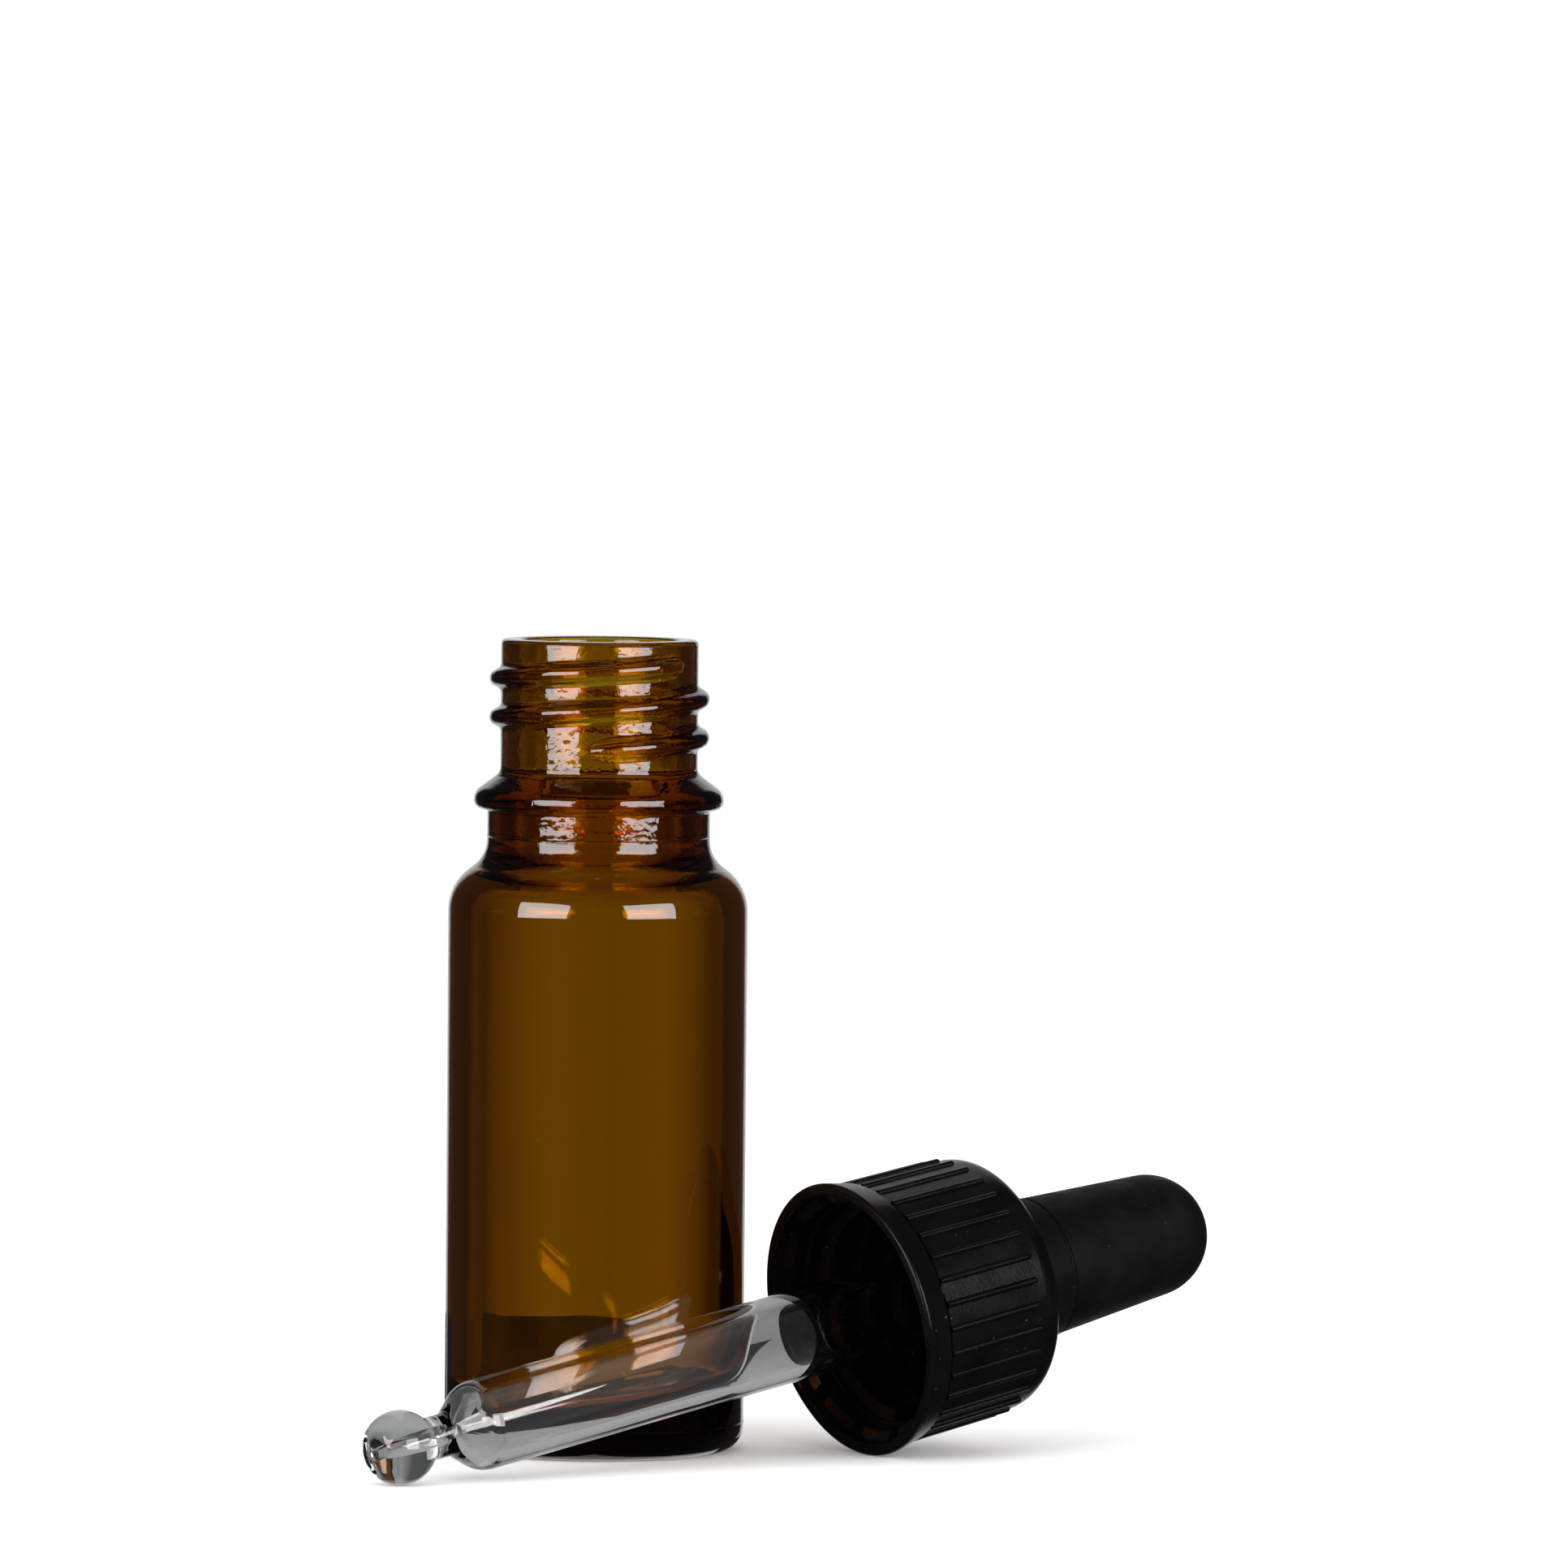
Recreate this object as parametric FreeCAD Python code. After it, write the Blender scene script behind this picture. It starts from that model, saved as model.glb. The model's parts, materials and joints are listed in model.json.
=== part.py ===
"""Amber dropper bottle: a screw-neck glass bottle, and its dropper lying open beside it.

Millimetres, +Z up. The origin is the middle of the bottle's foot, on the surface that it stands on.
The dropper is built upright in its own frame, with its origin in the middle of the closure's open
mouth and +Z towards the teat, and is then laid down beside the bottle.
"""

import FreeCAD
import Part
import math
import os

V = FreeCAD.Vector

# Bottle body
bottle_height = 66.2
body_r = 12.22
wall = 1.9
base_thickness = 3.2
heel_r = 2.0
foot_inner_r = 9.0
push_up = 0.7
shoulder_slope = 36.0
shoulder_top = 17.75  # below the rim
shoulder_r = 4.2
neck_fillet_r = 2.8

# Neck finish: an 18 mm screw finish with a transfer ring below the thread
finish_r = 8.05
bore_r = 6.3
rim_r = 0.4
neck_step = 1.03  # from the finish out to the neck
ring_step = 2.13  # from the finish out to the transfer ring
ring_slope = 37.0
ring_top = 10.9  # below the rim
ring_under = 13.85  # below the rim
seam_height = 0.06
neck_seam = 16.1  # below the rim
heel_seam = 2.3  # above the foot
pitch = 3.175
thread_height = 0.92
thread_half_base = 1.42  # half the thread's width where its flanks run out into the wall
thread_half_crest = 0.42
thread_crest_r = 0.66
thread_flank_r = 0.55
thread_sunk = 0.6  # how far the thread runs into the wall
thread_turns = 2.15
thread_lead = 2.9  # how far the thread's lower end tapers in
thread_end = 1.1  # how far its blunt upper end takes to round off
thread_start = 8.85  # below the rim
thread_start_angle = -97.0
thread_step = 20.0  # turn from one section of the thread to the next

# Closure: a ribbed screw cap over a tamper ring
ring_height = 2.4
ring_overhang = 0.24  # from the cap's skirt out to the ring's upper edge
ring_flare = 0.53
ring_wall = 1.0
ring_edge_r = 0.3
slit = 0.25
lug_count = 12
lug_angle = 22.0
lug_reach = 0.95
lug_low = 0.5
lug_tip_low = 1.4
lug_high = 1.9
bridge_count = 12
bridge_width = 0.6
bridge_depth = 0.5
cap_height = 14.6
cap_wall = 1.48
cap_draft = 0.7
cap_round_r = 2.1
cap_top_wall = 1.3
thread_gap = 0.23  # radial clearance between the neck's thread and the closure's, both ways
cap_thread_base = 1.7
cap_thread_crest = 0.6
cap_thread_sunk = 0.3  # how far the ridge runs into the closure's wall
cap_thread_end_gap = 0.2
rib_count = 33
rib_r = 0.28
rib_stop = 3.0  # below the top of the cap

# Rubber teat
teat_gap = 0.05
flange_gap = 0.5  # from the flange out to the cap's wall
flange_thickness = 1.2
collar_wall = 2.25
collar_height = 4.2
groove_depth = 0.25
groove_width = 0.35
bulb_step = 0.15  # from the collar in to the bulb
bulb_taper = 3.5
bulb_height = 21.1  # above the top of the cap
bulb_wall = 1.2

# Glass pipette with a ball tip
tube_r = 3.65
tube_wall = 1.05
tube_above_cap = 3.0
shoulder_at = 6.9  # from the ball's centre
shoulder_length = 2.4
tip_neck_r = 1.75
ball_r = 3.0
ball_flat = 2.4  # from the ball's centre to the blunt tip face
ball_edge_r = 1.0
ball_fillet_r = 1.5
tip_clearance = 3.65  # from the tip to the bottle's inside floor when the bottle is closed
tip_bore_r = 0.5

# How the dropper lies beside the bottle
lie_angle = 35.0
pipette_to_body = 0.5
mouth_to_body = 2.4

# Values worked out from the ones above
neck_r = finish_r + neck_step
ring_r = finish_r + ring_step
cap_low = ring_height + slit
cap_root_r = finish_r + thread_height + thread_gap
cap_crest_r = finish_r + thread_gap
cap_skirt_r = cap_root_r + cap_wall
ring_top_r = cap_skirt_r + ring_overhang
ring_mouth_r = ring_top_r + ring_flare
collar_r = tube_r + teat_gap + collar_wall
bulb_low_r = collar_r - bulb_step
flange_r = cap_root_r - flange_gap
hole_r = collar_r + teat_gap
flange_top = cap_height - cap_top_wall - teat_gap
flange_low = flange_top - flange_thickness
inside_floor = base_thickness + push_up
ball_below_mouth = bottle_height - flange_low - inside_floor - tip_clearance - ball_flat
ball_at = -ball_below_mouth
tube_top = cap_height + tube_above_cap


def tan(angle):
    return math.tan(math.radians(angle))


def outline(corners):
    """A face in the XZ plane from corners (radius, height, rounding), each rounded by a tangent arc."""
    points = [V(r, 0, z) for r, z, _ in corners]
    enters, middles, leaves = [], [], []
    for i, (_, _, rounding) in enumerate(corners):
        corner = points[i]
        back = (points[i - 1] - corner).normalize()
        ahead = (points[(i + 1) % len(points)] - corner).normalize()
        half = back.getAngle(ahead) / 2
        reach = rounding / math.tan(half)
        inward = (back + ahead).normalize() if rounding else V()
        enters.append(corner + back * reach)
        middles.append(corner + inward * (rounding / math.sin(half) - rounding))
        leaves.append(corner + ahead * reach)
    edges = []
    for i, (_, _, rounding) in enumerate(corners):
        edges.append(Part.LineSegment(leaves[i - 1], enters[i]).toShape())
        if rounding:
            edges.append(Part.Arc(enters[i], middles[i], leaves[i]).toShape())
    return Part.Face(Part.Wire(edges))


def turned(corners, angle=360):
    """The outline turned about the Z axis."""
    return outline(corners).revolve(V(0, 0, 0), V(0, 0, 1), angle)


def spun(shape, angle):
    """A copy turned about the Z axis."""
    copy = shape.copy()
    copy.rotate(V(0, 0, 0), V(0, 0, 1), angle)
    return copy


def helix(radius, start, turns):
    wire = Part.makeHelix(pitch, pitch * turns, radius)
    wire.translate(V(0, 0, start))
    return wire


def thread_section(turns, share):
    """The thread's outline this many turns from its lower end, with its height and width times share."""
    middle = bottle_height - thread_start + pitch * turns
    half = [
        (-thread_sunk, thread_half_base, 0),
        (-0.05, thread_half_base, 0),
        (0.03, (thread_half_base + thread_half_crest) / 2, thread_flank_r),
        (thread_height, thread_half_crest, thread_crest_r),
    ]
    lower = [(out, -up, rounding) for out, up, rounding in half]
    section = outline([
        (finish_r + share * out, middle + share * up, share * rounding)
        for out, up, rounding in lower + half[::-1]
    ])
    return spun(section.OuterWire, 360 * turns)


def neck_thread():
    """A rounded ridge with hollow flanks, wound on the neck, with a leaf-shaped start and a blunt end."""
    lead_turns = thread_lead / (math.tau * finish_r)
    end_turns = thread_end / (math.tau * finish_r)
    full_turns = thread_turns - lead_turns
    steps = math.ceil(360 * full_turns / thread_step)
    quarter = [math.radians(15 * i) for i in range(1, 6)]  # up to 75, because at 90 the section is a point
    lead = [thread_section(lead_turns * (1 - math.sin(angle)), math.cos(angle)) for angle in reversed(quarter)]
    full = [thread_section(lead_turns + full_turns * i / steps, 1) for i in range(steps + 1)]
    end = [thread_section(thread_turns + end_turns * math.sin(angle), math.cos(angle)) for angle in quarter]
    return spun(Part.makeLoft(lead + full + end, True), thread_start_angle)


def make_bottle():
    shoulder_z = bottle_height - shoulder_top
    body_top = shoulder_z - (body_r - neck_r) * tan(shoulder_slope)
    ring_z = bottle_height - ring_top
    ring_side = ring_z - (ring_r - finish_r) * tan(ring_slope)
    under = bottle_height - ring_under
    inner_r = body_r - wall
    drop = wall / math.cos(math.radians(shoulder_slope))
    inner_low = body_top + wall * tan(shoulder_slope) - drop
    inner_high = inner_low + (inner_r - bore_r) * tan(shoulder_slope)
    seam_z = bottle_height - neck_seam
    slope_length = (body_r - neck_r) / math.cos(math.radians(shoulder_slope))
    arcs_length = (shoulder_r + neck_fillet_r) * tan((90 - shoulder_slope) / 2)
    fits = min(1, 0.98 * slope_length / arcs_length)  # both fillets share the slope between them
    glass = turned([
        (0, push_up, 0),
        (foot_inner_r - 2.5, push_up, 2.0),
        (foot_inner_r, 0, 0.3),
        (body_r, 0, heel_r),
        (body_r, heel_seam, 0),
        (body_r + seam_height, heel_seam + seam_height, 0),
        (body_r, heel_seam + 2 * seam_height, 0),
        (body_r, body_top, shoulder_r * fits),
        (neck_r, shoulder_z, neck_fillet_r * fits),
        (neck_r, seam_z - seam_height, 0),
        (neck_r + seam_height, seam_z, 0),
        (neck_r, seam_z + seam_height, 0),
        (neck_r, under, 0.3),
        (ring_r, under, 0.65),
        (ring_r, ring_side, 1.2),
        (finish_r, ring_z, 0.9),
        (finish_r, bottle_height, rim_r),
        (bore_r, bottle_height, rim_r),
        (bore_r, inner_high, 2.0),
        (inner_r, inner_low, 2.4),
        (inner_r, base_thickness, 2.5),
        (0, base_thickness + push_up, 0),
    ])
    return glass.fuse(neck_thread()).removeSplitter()


def cap_thread():
    """A trapezoid ridge wound inside the closure, from above the slit to below the teat's flange."""
    buried = cap_root_r + cap_thread_sunk
    half_base, half_crest = cap_thread_base / 2, cap_thread_crest / 2
    start = cap_low + cap_thread_end_gap + half_base
    turns = (flange_low - cap_thread_end_gap - half_base - start) / pitch
    section = Part.makePolygon([
        V(buried, 0, start - half_base),
        V(cap_crest_r, 0, start - half_crest),
        V(cap_crest_r, 0, start + half_crest),
        V(buried, 0, start + half_base),
        V(buried, 0, start - half_base),
    ])
    return Part.Wire(helix(cap_root_r, start, turns)).makePipeShell([section], True, True)


def cap_ribs():
    """Round-topped ribs that lie half sunk along the drafted skirt."""
    low = V(cap_skirt_r, 0, cap_low)
    high = V(cap_skirt_r - (cap_height - rib_stop - cap_low) * tan(cap_draft), 0, cap_height - rib_stop)
    below = low - (high - low).normalize() * 2 * rib_r
    rib = Part.makeCylinder(rib_r, (high - below).Length, below, high - below)
    rib = rib.fuse(Part.makeSphere(rib_r, high))
    block = 8 * rib_r
    rib = rib.cut(Part.makeBox(block, block, block, V(cap_skirt_r - block / 2, -block / 2, cap_low - block)))
    return [spun(rib, 360 * i / rib_count) for i in range(rib_count)]


def make_screw_cap():
    top_r = cap_skirt_r - (cap_height - cap_low) * tan(cap_draft)
    under_top = cap_height - cap_top_wall
    shell = turned([
        (cap_skirt_r, cap_low, 0),
        (top_r, cap_height, cap_round_r),
        (hole_r, cap_height, 0.15),
        (hole_r, under_top, 0),
        (cap_root_r, under_top, 0.3),
        (cap_root_r, cap_low, 0.15),
    ])
    return shell.fuse(cap_ribs() + [cap_thread()]).removeSplitter()


def make_tamper_ring():
    band = turned([
        (ring_mouth_r, 0, ring_edge_r),
        (ring_top_r, ring_height, 0.1),
        (ring_top_r - ring_wall, ring_height, 0.1),
        (ring_mouth_r - ring_wall, 0, ring_edge_r),
    ])
    root = ring_mouth_r - ring_wall / 2
    tip = ring_mouth_r - ring_wall - lug_reach
    lug = turned([
        (root, lug_low, 0),
        (tip, lug_tip_low, 0.15),
        (tip, lug_high, 0.1),
        (root, lug_high, 0),
    ], lug_angle)
    lug = spun(lug, -lug_angle / 2)
    return band.fuse([spun(lug, 360 * i / lug_count) for i in range(lug_count)]).removeSplitter()


def make_break_bridges():
    """Small posts across the slit that join the tamper ring to the cap until it is first opened."""
    middle = ring_top_r - ring_wall / 2
    corner = V(middle - bridge_depth / 2, -bridge_width / 2, ring_height)
    post = Part.makeBox(bridge_depth, bridge_width, slit, corner)
    return Part.makeCompound([spun(post, 360 * (i + 0.5) / bridge_count) for i in range(bridge_count)])


def make_rubber_teat():
    collar_top = cap_height + collar_height
    bulb_low = collar_top + groove_width
    bulb_top = cap_height + bulb_height
    bulb_high_r = bulb_low_r - (bulb_top - bulb_low) * tan(bulb_taper)
    cavity_low_r = bulb_low_r - bulb_wall
    cavity_high_r = bulb_high_r - bulb_wall
    bore = tube_r + teat_gap
    rounder = 0.99 * tan(45 + bulb_taper / 2)  # a dome that just reaches the axis
    return turned([
        (bore, flange_low, 0.2),
        (flange_r, flange_low, 0.3),
        (flange_r, flange_top, 0.3),
        (collar_r, flange_top, 0),
        (collar_r, collar_top, 0.12),
        (collar_r - groove_depth, collar_top, 0),
        (collar_r - groove_depth, bulb_low, 0),
        (bulb_low_r, bulb_low, 0.12),
        (bulb_high_r, bulb_top, bulb_high_r * rounder),
        (0, bulb_top, 0),
        (0, bulb_top - bulb_wall, 0),
        (cavity_high_r, bulb_top - bulb_wall, cavity_high_r * rounder),
        (cavity_low_r, tube_top + 1.0, 0.6),
        (bore, tube_top + 0.4, 0),
    ])


def rim_edges(shape, low, high):
    """The whole circles about the Z axis between two heights."""
    return [e for e in shape.Edges if isinstance(e.Curve, Part.Circle) and low < e.Curve.Center.z < high]


def make_glass_pipette():
    shoulder_high = ball_at + shoulder_at
    shoulder_low = shoulder_high - shoulder_length
    tube_bore = tube_r - tube_wall
    stem = turned([
        (0, ball_at, 0),
        (tip_neck_r, ball_at, 0),
        (tip_neck_r, shoulder_low, 1.0),
        (tube_r, shoulder_high, 2.6),
        (tube_r, tube_top, 0.45),
        (0, tube_top, 0),
    ])
    beyond = Part.makeBox(2 * ball_r, 2 * ball_r, ball_r, V(-ball_r, -ball_r, ball_at - ball_flat - ball_r))
    ball = Part.makeSphere(ball_r, V(0, 0, ball_at)).cut(beyond)
    glass = stem.fuse(ball)
    glass = glass.makeFillet(ball_fillet_r, rim_edges(glass, ball_at + 1, shoulder_low - 0.5))
    glass = glass.makeFillet(ball_edge_r, rim_edges(glass, ball_at - ball_r, ball_at - ball_flat + 0.1))
    bore = turned([
        (0, ball_at - ball_r, 0),
        (tip_bore_r, ball_at - ball_r, 0),
        (tip_bore_r, shoulder_low + tube_wall / 2, 0.6),
        (tube_bore, shoulder_high + tube_wall / 2, 1.2),
        (tube_bore, tube_top + 1, 0),
        (0, tube_top + 1, 0),
    ])
    return glass.cut(bore)


def laid_down():
    """The placement that lays the upright dropper on the surface, on its tamper ring and its ball tip."""
    flare = math.atan2(ring_mouth_r - ring_top_r, ring_height)
    edge_centre = ring_mouth_r - ring_edge_r / math.tan((math.pi / 2 - flare) / 2)
    run = ball_below_mouth + ring_edge_r
    steepest = math.acos((ball_r - ring_edge_r) / math.hypot(edge_centre, run))
    tilt = math.degrees(steepest - math.atan2(run, edge_centre))
    lie = math.radians(lie_angle)
    offset = body_r + tube_r + pipette_to_body
    reach = math.sqrt((body_r + mouth_to_body) ** 2 - (offset - ring_mouth_r) ** 2)
    across = V(math.sin(lie), -math.cos(lie), 0) * offset
    along = V(math.cos(lie), math.sin(lie), 0) * reach
    height = ball_r + ball_below_mouth * math.sin(math.radians(tilt))
    turn = FreeCAD.Rotation(V(0, 0, 1), lie_angle) * FreeCAD.Rotation(V(0, 1, 0), 90 - tilt)
    return FreeCAD.Placement(across + along + V(0, 0, height), turn)


def main():
    os.makedirs("parts", exist_ok=True)
    dropper = laid_down()
    nodes = {"bottle": make_bottle()}
    for name, make in (
        ("screw_cap", make_screw_cap),
        ("tamper_ring", make_tamper_ring),
        ("break_bridges", make_break_bridges),
        ("rubber_teat", make_rubber_teat),
        ("glass_pipette", make_glass_pipette),
    ):
        shape = make()
        shape.Placement = dropper.multiply(shape.Placement)
        nodes[name] = shape
    for name, shape in nodes.items():
        shape.exportStep(f"parts/{name}.step")
        box = shape.optimalBoundingBox(False)
        print(name, "solids", len(shape.Solids), "valid", shape.isValid(), "volume", round(shape.Volume, 1),
              "z", round(box.ZMin, 3), round(box.ZMax, 3))
    axis = dropper.Rotation.multVec(V(0, 0, 1))
    press = dropper.Rotation.multVec(V(1, 0, 0))
    print("dropper mouth", dropper.Base, "axis", axis, "press", press)


main()
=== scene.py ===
# %% [markdown]
# # A glass dropper bottle
#
# The object is an empty amber glass bottle that stands open, with its dropper lying beside it: a black
# ribbed screw cap with a tamper ring, a rubber teat and a clear glass pipette. The exact shapes come from
# the CAD frame. This lesson gives them their glass, plastic and rubber, and cuts the teat in two, so that
# its bulb can be squeezed while its collar stays round.

# %% Load the frame
import bpy
import json
import math
from mathutils import Matrix, Vector


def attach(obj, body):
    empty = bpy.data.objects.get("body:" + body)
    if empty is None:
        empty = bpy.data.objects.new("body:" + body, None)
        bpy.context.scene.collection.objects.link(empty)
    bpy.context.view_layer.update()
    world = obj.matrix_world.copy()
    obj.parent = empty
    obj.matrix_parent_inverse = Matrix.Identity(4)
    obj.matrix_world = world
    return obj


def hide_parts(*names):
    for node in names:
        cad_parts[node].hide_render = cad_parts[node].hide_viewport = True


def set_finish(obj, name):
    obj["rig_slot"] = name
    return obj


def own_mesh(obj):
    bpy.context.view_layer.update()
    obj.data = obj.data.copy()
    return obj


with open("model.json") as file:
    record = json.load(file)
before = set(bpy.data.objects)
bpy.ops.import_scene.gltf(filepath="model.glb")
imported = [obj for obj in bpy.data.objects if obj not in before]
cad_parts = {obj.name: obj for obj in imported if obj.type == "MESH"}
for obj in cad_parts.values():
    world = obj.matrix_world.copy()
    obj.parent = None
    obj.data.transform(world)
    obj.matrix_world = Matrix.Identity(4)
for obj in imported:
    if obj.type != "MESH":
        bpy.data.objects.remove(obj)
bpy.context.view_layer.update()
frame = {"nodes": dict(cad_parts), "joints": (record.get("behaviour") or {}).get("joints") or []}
nodes = frame["nodes"]
print("nodes", sorted(nodes))

# %% [markdown]
# ## The dropper's own frame
#
# The dropper lies at a slant, so nothing on it runs along X, Y or Z. Its axis and the middle of its mouth
# are those of the joint that the cap turns on, and the direction in which the teat is pressed is the
# second axis. With them, a pattern can be turned so that it runs along the pipette or the bulb.

# %% Read the dropper's axes from the joints
joints = {joint["name"]: joint for joint in frame["joints"]}
mouth = Vector(joints["cap_turn"]["pos_m"])
along = Vector(joints["cap_turn"]["axis"]).normalized()
press = Vector(joints["teat_squeeze"]["axis"]).normalized()
dropper_turn = Matrix((press, along.cross(press), along)).transposed()
print("dropper mouth", [round(v, 4) for v in mouth], "axis", [round(v, 3) for v in along])

# %% [markdown]
# ## Working with shader nodes
#
# Each finish is a small node tree. Writing one by hand takes many lines, so short helpers do the wiring:
# they start a material with its main shader, add a node and set its sockets, give the place on the piece
# that a pattern reads, and make the noise, ramp, bump and absorption that the finishes share.


# %% Helpers for materials
def start_material(name, **sockets):
    """A new material with one Principled shader, whose sockets are set by name."""
    material = bpy.data.materials.new(name)
    material.use_nodes = True
    tree = material.node_tree
    shader = tree.nodes["Principled BSDF"]
    for socket, value in sockets.items():
        shader.inputs[socket.replace("_", " ")].default_value = value
    return material, tree, shader


def add_node(tree, kind, inputs=(), **settings):
    """A node of that kind. inputs pairs a socket's name with a value or with another node's output."""
    node = tree.nodes.new(kind)
    for setting, value in settings.items():
        setattr(node, setting, value)
    for socket, value in dict(inputs).items():
        if isinstance(value, bpy.types.NodeSocket):
            tree.links.new(value, node.inputs[socket])
        else:
            node.inputs[socket].default_value = value
    return node


def place_on_piece(tree, scale=(1, 1, 1), along_dropper=False):
    """Where a point is on the piece, in metres times scale. Along the dropper, Z runs from mouth to teat."""
    place = add_node(tree, "ShaderNodeTexCoord").outputs["Object"]
    if along_dropper:
        turned = add_node(tree, "ShaderNodeMapping", {"Vector": place}, vector_type="TEXTURE")
        turned.inputs["Location"].default_value = mouth
        turned.inputs["Rotation"].default_value = dropper_turn.to_euler()
        place = turned.outputs["Vector"]
    return add_node(tree, "ShaderNodeMapping", {"Vector": place, "Scale": scale}).outputs["Vector"]


def noise(tree, place, scale, detail=2.0, roughness=0.5):
    return add_node(tree, "ShaderNodeTexNoise",
                    {"Vector": place, "Scale": scale, "Detail": detail, "Roughness": roughness}).outputs["Fac"]


def ramp(tree, value, low, high, first=(0, 0, 0, 1), last=(1, 1, 1, 1)):
    """Turns the stretch of value between low and high into a blend from the first colour to the last."""
    node = add_node(tree, "ShaderNodeValToRGB", {"Fac": value})
    node.color_ramp.elements[0].position = low
    node.color_ramp.elements[1].position = high
    node.color_ramp.elements[0].color = first
    node.color_ramp.elements[1].color = last
    return node.outputs["Color"]


def add_bump(tree, shader, height, depth):
    """Raises the surface by depth, in metres, where height is 1."""
    bump = add_node(tree, "ShaderNodeBump", {"Height": height, "Distance": depth, "Strength": 1.0})
    tree.links.new(bump.outputs["Normal"], shader.inputs["Normal"])


def soak(tree, red, green, blue):
    """Fills a glass with colour: each value is the share of that light that a metre takes, as a natural log."""
    density = max(red, green, blue)
    colour = (1 - red / density, 1 - green / density, 1 - blue / density, 1)
    volume = add_node(tree, "ShaderNodeVolumeAbsorption", {"Color": colour, "Density": density})
    tree.links.new(volume.outputs["Volume"], tree.nodes["Material Output"].inputs["Volume"])


print("helpers ready")

# %% [markdown]
# ## Amber glass
#
# Amber glass is coloured all through, so its thick parts look darker than its thin ones: the walls seen
# edge on and the heel are almost black, and the neck between two turns of thread glows. A tinted surface
# can't do that. The colour is a volume absorption that takes nearly all blue, most green and less red.
# Moulded glass is also never quite flat, so a slow wave bends its reflections a little, and a finer ripple
# breaks them up on the neck.


# %% Make the amber glass
def make_amber_glass():
    material, tree, shader = start_material(
        "amber_glass", Base_Color=(1, 1, 1, 1), IOR=1.52, Transmission_Weight=1.0)
    place = place_on_piece(tree)
    wave = noise(tree, place, 120.0, 1.0)
    up = add_node(tree, "ShaderNodeSeparateXYZ", {0: place}).outputs["Z"]
    on_neck = add_node(tree, "ShaderNodeMapRange", {"Value": up, "From Min": 0.046, "From Max": 0.049,
                       "To Max": 0.7}).outputs["Result"]
    ripple = add_node(tree, "ShaderNodeMath", {0: noise(tree, place, 1300.0, 2.0), 1: on_neck},
                      operation="MULTIPLY").outputs[0]
    both = add_node(tree, "ShaderNodeMath", {0: wave, 1: ripple}, operation="ADD")
    add_bump(tree, shader, both.outputs[0], 0.00004)
    gloss = ramp(tree, noise(tree, place, 420.0, 3.0), 0.35, 0.75, (0.0,) * 3 + (1,), (0.018,) * 3 + (1,))
    tree.links.new(gloss, shader.inputs["Roughness"])
    soak(tree, 200.0, 452.0, 2000.0)
    return material


amber_glass = make_amber_glass()
print("made", amber_glass.name)

# %% [markdown]
# ## Clear glass
#
# The pipette is cut from drawn tube, so what unevenness it has runs in long streaks along it. The noise
# that moves its surface is stretched along the dropper's axis. The glass takes a very little light, which
# makes its edges grey.


# %% Make the clear glass
def make_clear_glass():
    material, tree, shader = start_material(
        "clear_glass", Base_Color=(1, 1, 1, 1), IOR=1.5, Transmission_Weight=1.0)
    streak_place = place_on_piece(tree, (1, 1, 0.06), along_dropper=True)
    streaks = noise(tree, streak_place, 500.0, 2.0)
    add_bump(tree, shader, streaks, 0.000006)
    gloss = ramp(tree, noise(tree, place_on_piece(tree), 600.0, 3.0), 0.4, 0.8,
                 (0.0,) * 3 + (1,), (0.012,) * 3 + (1,))
    tree.links.new(gloss, shader.inputs["Roughness"])
    soak(tree, 26.0, 22.0, 20.0)
    return material


clear_glass = make_clear_glass()
print("made", clear_glass.name)

# %% [markdown]
# ## Black plastic
#
# The cap and its tamper ring are moulded polypropylene: nearly black, half glossy, with a fine grain from
# the mould and a few specks of dust that catch the light. The grain goes into the bump and, at a slower
# scale, into the roughness, so that a highlight is broken up as on a real moulding.


# %% Make the black plastic
def make_black_plastic():
    material, tree, shader = start_material("black_plastic", IOR=1.49, Specular_IOR_Level=0.15)
    place = place_on_piece(tree, along_dropper=True)
    dust = ramp(tree, noise(tree, place, 3600.0, 0.0), 0.84, 0.88)
    body = ramp(tree, noise(tree, place, 240.0, 3.0), 0.3, 0.7,
                (0.0012, 0.0012, 0.0014, 1), (0.0026, 0.0025, 0.0025, 1))
    colour = add_node(tree, "ShaderNodeMix",
                      {"Factor": dust, 6: body, 7: (0.03, 0.028, 0.026, 1)}, data_type="RGBA")
    tree.links.new(colour.outputs[2], shader.inputs["Base Color"])
    gloss = ramp(tree, noise(tree, place, 320.0, 4.0), 0.3, 0.75, (0.2,) * 3 + (1,), (0.34,) * 3 + (1,))
    tree.links.new(gloss, shader.inputs["Roughness"])
    add_bump(tree, shader, noise(tree, place, 3000.0, 2.0), 0.000012)
    return material


black_plastic = make_black_plastic()
print("made", black_plastic.name)

# %% [markdown]
# ## Black rubber
#
# The teat is soft rubber with a dull, slightly dusty skin. It scatters light widely, so its roughness is
# high, and a weak sheen lightens it at a glancing angle as the dust on real rubber does.


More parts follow.
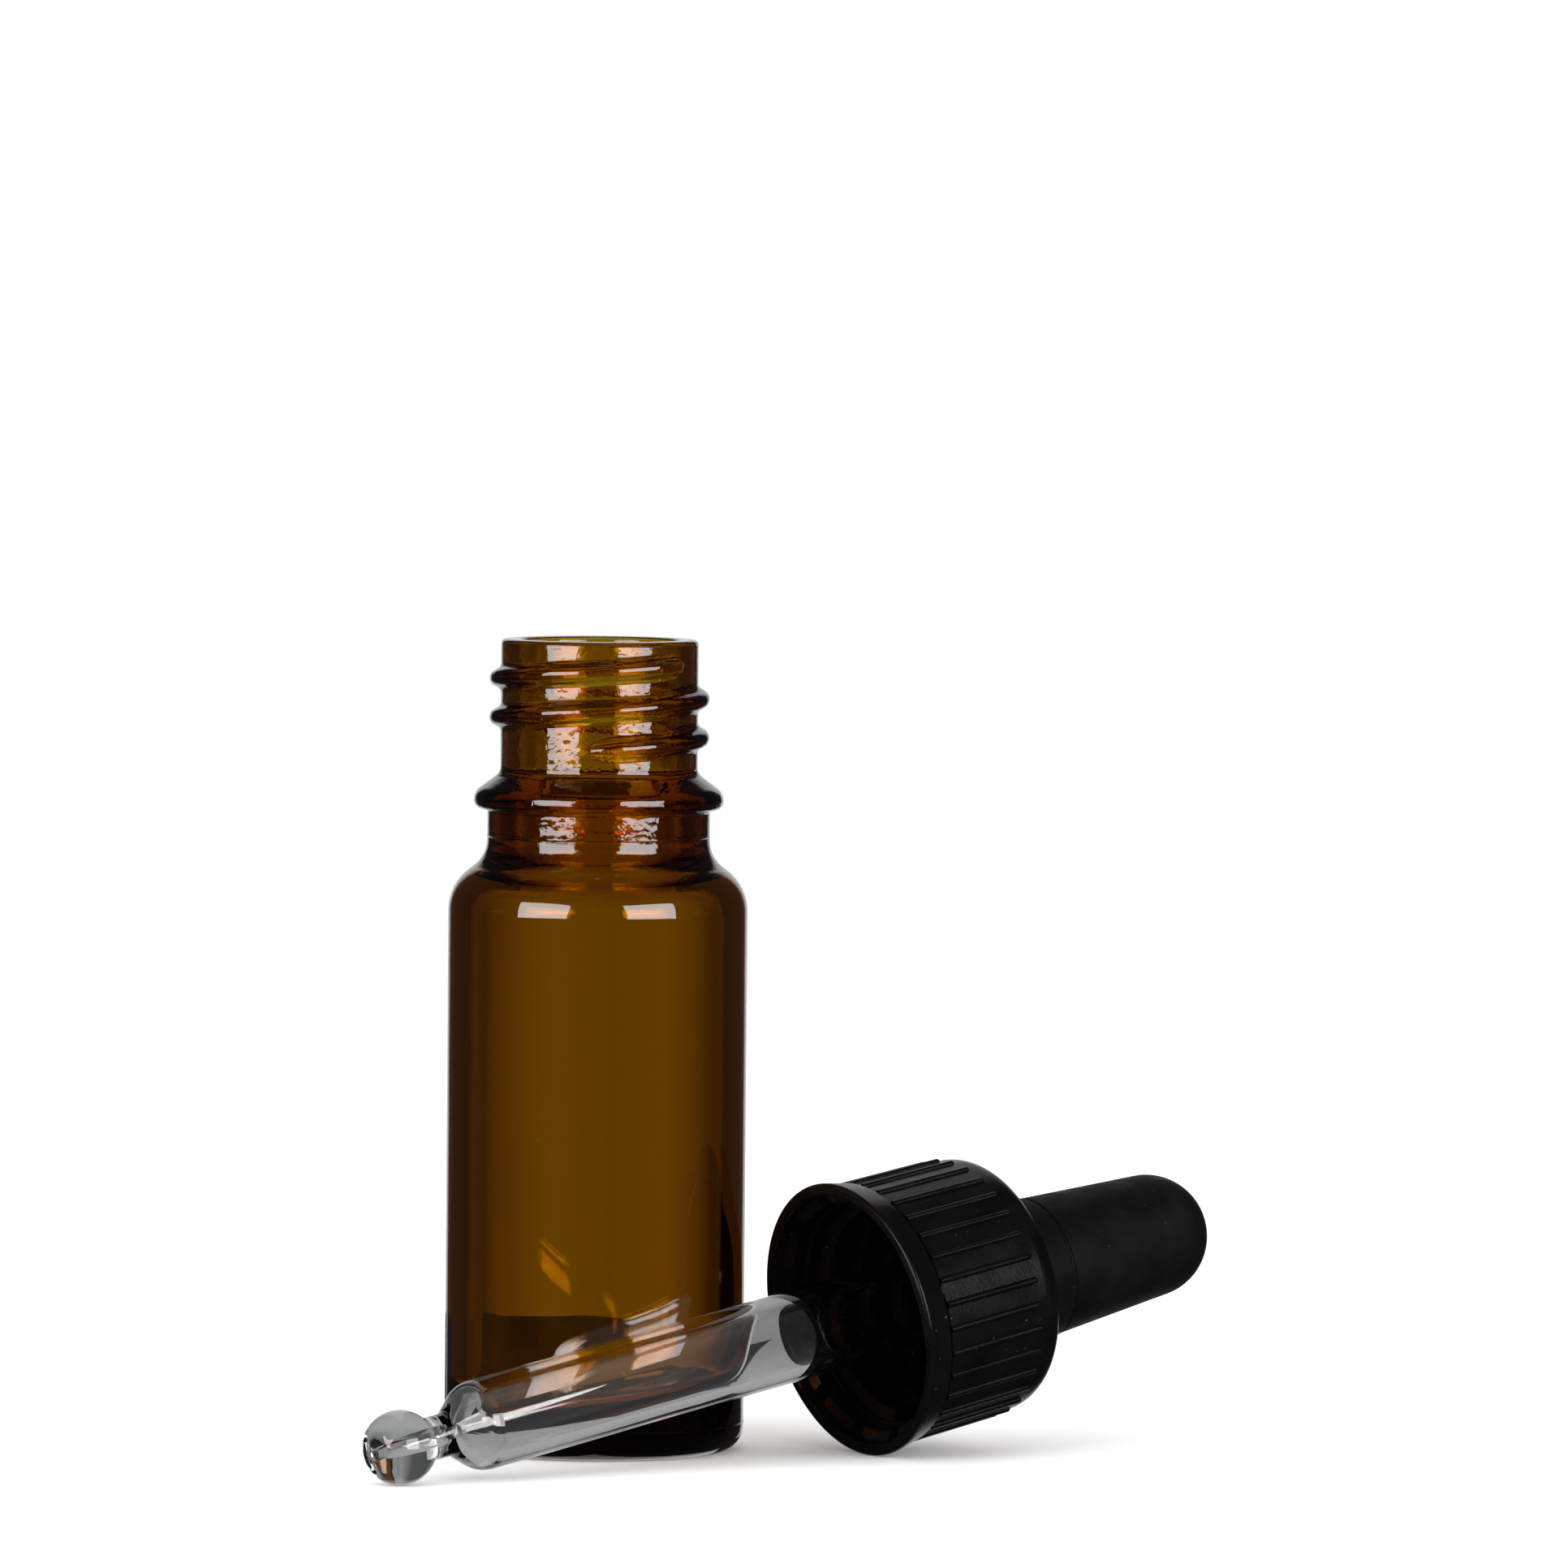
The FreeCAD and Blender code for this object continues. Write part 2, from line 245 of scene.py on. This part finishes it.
# %% Make the black rubber
def make_black_rubber():
    material, tree, shader = start_material(
        "black_rubber", IOR=1.5, Specular_IOR_Level=0.06, Sheen_Weight=0.006, Sheen_Roughness=0.4)
    place = place_on_piece(tree, along_dropper=True)
    dust = ramp(tree, noise(tree, place, 4200.0, 0.0), 0.84, 0.88)
    body = ramp(tree, noise(tree, place, 300.0, 4.0), 0.3, 0.75,
                (0.0016, 0.0015, 0.0016, 1), (0.0036, 0.0034, 0.0033, 1))
    colour = add_node(tree, "ShaderNodeMix",
                      {"Factor": dust, 6: body, 7: (0.016, 0.015, 0.014, 1)}, data_type="RGBA")
    tree.links.new(colour.outputs[2], shader.inputs["Base Color"])
    gloss = ramp(tree, noise(tree, place, 500.0, 3.0), 0.3, 0.7, (0.48,) * 3 + (1,), (0.68,) * 3 + (1,))
    tree.links.new(gloss, shader.inputs["Roughness"])
    add_bump(tree, shader, noise(tree, place, 2200.0, 3.0), 0.00002)
    return material


black_rubber = make_black_rubber()
print("made", black_rubber.name)

# %% [markdown]
# ## Giving the CAD nodes their finishes
#
# A CAD node keeps its mesh, and only the material in its slot changes.

# %% Assign the finishes
finish_of = {
    "bottle": amber_glass,
    "glass_pipette": clear_glass,
    "screw_cap": black_plastic,
    "tamper_ring": black_plastic,
    "break_bridges": black_plastic,
    "rubber_teat": black_rubber,
}
for name, material in finish_of.items():
    place_of_finish = nodes[name].material_slots[0]
    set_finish(nodes[name], place_of_finish.material.name)
    place_of_finish.material = material
    print(name, "is", material.name)

# %% [markdown]
# ## A teat that can be squeezed
#
# The thumb flattens the bulb but not the collar, which the cap holds. The teat is copied, and the copies are cut
# across the groove between the two, one kept above and one below. The bulb moves with its joint towards one side
# and gets a mesh of its own, and the collar stays with the dropper.

# %% Cut the teat into its collar and its bulb
groove = 0.018975  # from the mouth to the middle of the groove
parting = 0.00001  # from there to each cut, so that the two don't rub


def cut_teat(name, upper, body):
    """The part of the teat above or below its groove, with the cut closed."""
    node = nodes["rubber_teat"]
    piece = bpy.data.objects.new(name, node.data.copy())
    bpy.context.scene.collection.objects.link(piece)
    bpy.ops.object.select_all(action="DESELECT")
    piece.select_set(True)
    bpy.context.view_layer.objects.active = piece
    bpy.ops.mesh.customdata_custom_splitnormals_clear()
    bpy.ops.object.mode_set(mode="EDIT")
    bpy.ops.mesh.select_all(action="SELECT")
    bpy.ops.mesh.remove_doubles(threshold=1e-6)
    bpy.ops.mesh.select_all(action="SELECT")
    cut_at = groove + (parting if upper else -parting)
    bpy.ops.mesh.bisect(plane_co=mouth + along * cut_at, plane_no=along, use_fill=True,
                        clear_inner=upper, clear_outer=not upper)
    bpy.ops.mesh.select_all(action="SELECT")
    bpy.ops.mesh.normals_make_consistent(inside=False)
    bpy.ops.object.mode_set(mode="OBJECT")
    bpy.ops.object.shade_smooth_by_angle(angle=math.radians(30))
    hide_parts("rubber_teat")
    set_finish(piece, node["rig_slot"])
    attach(piece, body)
    print(name, "faces", len(piece.data.polygons), "rides on", body)
    return piece


collar = cut_teat("teat_collar", False, "dropper")
bulb = cut_teat("teat_bulb", True, "teat")
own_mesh(bulb)

# %% [markdown]
# ## Floor
#
# The object stands on a plain pale sheet. Its edge is round and far away, and the air behind it is as
# light as the sheet, so no horizon shows from any side.


# %% Make the floor
def make_floor(radius=0.55):
    bpy.ops.object.select_all(action="DESELECT")
    bpy.ops.mesh.primitive_circle_add(vertices=96, radius=radius, fill_type="NGON", location=(0, 0, 0))
    floor = bpy.context.object
    floor.name = "studio_floor"
    material, tree, shader = start_material("studio_paper", Roughness=0.9, Specular_IOR_Level=0.1)
    tone = ramp(tree, noise(tree, place_on_piece(tree), 6.0), 0.3, 0.7, (0.87, 0.87, 0.87, 1), (0.9, 0.9, 0.9, 1))
    tree.links.new(tone, shader.inputs["Base Color"])
    floor.data.materials.append(material)
    floor.visible_glossy = False
    floor.visible_transmission = False
    return floor


floor = make_floor()
print("floor", [round(v, 2) for v in floor.dimensions])

# %% [markdown]
# A dark card lies under and behind the bottle, and it paints shade into the glass: only the glass and the plastic
# see it, while the camera, the diffuse light and the shadows pass it by. The foot of the bottle takes this
# painted shade up to the line where the card ends, and the pipette gets a painted grey inside. It widens to the
# left with distance, because the glass spreads what is behind it, and not to the right, so that the pipette's far
# end stays light.


# %% Lay the dark card that paints shade into the glass
def make_shade_card(half=0.0135, spread=2.2, front=-0.004, back=0.12, rise=0.0002):
    bpy.ops.object.select_all(action="DESELECT")
    bpy.ops.mesh.primitive_plane_add(size=1, location=(0, (front + back) / 2, -rise))
    card = bpy.context.object
    card.name = "painted_shade_card"
    card.scale = (2 * half, back - front, 1)
    bpy.ops.object.transform_apply(location=True, rotation=False, scale=True)
    middle = (front + back) / 2
    for corner in card.data.vertices:
        corner.select = corner.co.y > middle
    for edge in card.data.edges:
        edge.select = all(card.data.vertices[i].select for i in edge.vertices)
    card.data.polygons[0].select = False
    bpy.ops.object.mode_set(mode="EDIT")
    bpy.ops.transform.resize(value=(spread, 1, 1), center_override=(half, back, 0))
    bpy.ops.object.mode_set(mode="OBJECT")
    # the card's dark grey is painted shade, seen only in the glass and the plastic
    material, tree, shader = start_material("painted_shade_grey", Roughness=1.0, Specular_IOR_Level=0.0)
    tone = ramp(tree, noise(tree, place_on_piece(tree), 8.0), 0.3, 0.7,
                (0.022, 0.021, 0.021, 1), (0.03, 0.029, 0.029, 1))
    tree.links.new(tone, shader.inputs["Base Color"])
    card.data.materials.append(material)
    # unseen by the camera, the diffuse light and the shadows, so the card only paints shade into what the glass
    # and plastic show
    card.visible_camera = card.visible_diffuse = card.visible_shadow = False
    return card


card = make_shade_card()
print("card corners", [tuple(round(c, 4) for c in v.co) for v in card.data.vertices])

# %% [markdown]
# ## Light
#
# Dark glass and black plastic are lit by what they mirror. Two softboxes in front give the paired bright
# patches on the shoulder and the neck. Between the lamps the room is dark, so the air is light where it is
# looked at directly, dimmer through glass, and dark where it is mirrored, except for a narrow stretch
# straight behind that draws the light lines along the bottle's edges.


# %% Set the lamps and the air
def add_softbox(name, azimuth, height, width, tall, glow, distance=1.0):
    """A rectangular lamp that faces the bottle. Azimuth 0 is the camera's side, and it grows to the right."""
    turn = math.radians(azimuth)
    lamp = bpy.data.lights.new(name, "AREA")
    lamp.shape = "RECTANGLE"
    lamp.size = width
    lamp.size_y = tall
    lamp.energy = glow * math.pi * width * tall
    lamp.color = (1.0, 0.96, 0.95)
    holder = bpy.data.objects.new(name, lamp)
    holder.location = (distance * math.sin(turn), -distance * math.cos(turn), height)
    aim = Vector((0, 0, 0.05)) - holder.location
    holder.rotation_euler = aim.to_track_quat("-Z", "Y").to_euler()
    bpy.context.scene.collection.objects.link(holder)
    return holder


for side, sign in (("left", -1), ("right", 1)):
    add_softbox(f"softbox_{side}", sign * 43, 0.26, 0.75, 0.55, 9.0)


def bands(tree, value, stops):
    """A grey that follows stops, pairs of a place from 0 to 1 and a brightness."""
    node = add_node(tree, "ShaderNodeValToRGB", {"Fac": value})
    stripe = node.color_ramp.elements
    while len(stripe) < len(stops):
        stripe.new(0.5)
    for element, (at, grey) in zip(stripe, stops):
        element.position = at
        element.color = (grey, grey, grey, 1)
    return node.outputs["Color"]


def make_air():
    """Light paper behind the bottle, dark air beside it. What looks straight at the air sees it white."""
    world = bpy.data.worlds.new("studio_air")
    world.use_nodes = True
    tree = world.node_tree
    way = add_node(tree, "ShaderNodeSeparateXYZ", {0: add_node(tree, "ShaderNodeTexCoord").outputs["Generated"]})
    turn = add_node(tree, "ShaderNodeMath", {0: way.outputs["X"], 1: way.outputs["Y"]}, operation="ARCTAN2")
    off_back = add_node(tree, "ShaderNodeMath", {0: turn.outputs[0]}, operation="ABSOLUTE")
    share = add_node(tree, "ShaderNodeMath", {0: off_back.outputs[0], 1: math.pi}, operation="DIVIDE").outputs[0]
    through = bands(tree, share, [(0.0, 0.235), (0.02, 0.285), (0.031, 0.25), (0.067, 0.15),
                                  (0.094, 0.085), (0.27, 0.06), (0.36, 0.3), (1.0, 0.3)])
    mirrored = bands(tree, share, [(0.0, 0.8), (0.09, 0.8), (0.13, 0.03), (0.62, 0.02), (1.0, 0.02)])
    below = add_node(tree, "ShaderNodeMapRange", {"Value": way.outputs["Z"], "From Min": -0.12,
                     "From Max": -0.5}).outputs["Result"]
    through = add_node(tree, "ShaderNodeMix", {"Factor": below, 6: through, 7: (0.4, 0.4, 0.4, 1)},
                       data_type="RGBA").outputs[2]
    path = add_node(tree, "ShaderNodeLightPath")
    mirror = add_node(tree, "ShaderNodeMath", {0: path.outputs["Is Glossy Ray"],
                      1: path.outputs["Is Reflection Ray"]}, operation="MULTIPLY").outputs[0]
    glow = add_node(tree, "ShaderNodeMix", {"Factor": mirror, 6: through, 7: mirrored}, data_type="RGBA")
    for ray, light in (("Is Diffuse Ray", 1.25), ("Is Camera Ray", 1.0)):
        glow = add_node(tree, "ShaderNodeMix", {"Factor": path.outputs[ray], 6: glow.outputs[2],
                        7: (light, light, light, 1)}, data_type="RGBA")
    tree.links.new(glow.outputs[2], tree.nodes["Background"].inputs["Color"])
    bpy.context.scene.world = world


make_air()
bpy.context.scene.view_settings.view_transform = "Standard"

# %% [markdown]
# ## Camera
#
# A long lens stands a metre away and looks down by less than three degrees, which keeps the bottle's
# sides upright. It leans by half a degree.

# %% Set the camera
camera_distance = 1.0
camera_pitch = 2.75
camera_lean = 0.5
camera_aim = Vector((0.0151, 0.0, 0.0545))
lens = bpy.data.cameras.new("camera")
lens.sensor_width = 36.0
lens.lens = 281.7
camera = bpy.data.objects.new("camera", lens)
pitch = math.radians(camera_pitch)
camera.matrix_world = (
    Matrix.Translation(camera_aim + Vector((0, -1, math.tan(pitch))) * camera_distance)
    @ Matrix.Rotation(math.pi / 2 - pitch, 4, "X")
    @ Matrix.Rotation(math.radians(camera_lean), 4, "Z")
)
bpy.context.scene.collection.objects.link(camera)
bpy.context.scene.camera = camera
print("camera at", [round(v, 3) for v in camera.location])
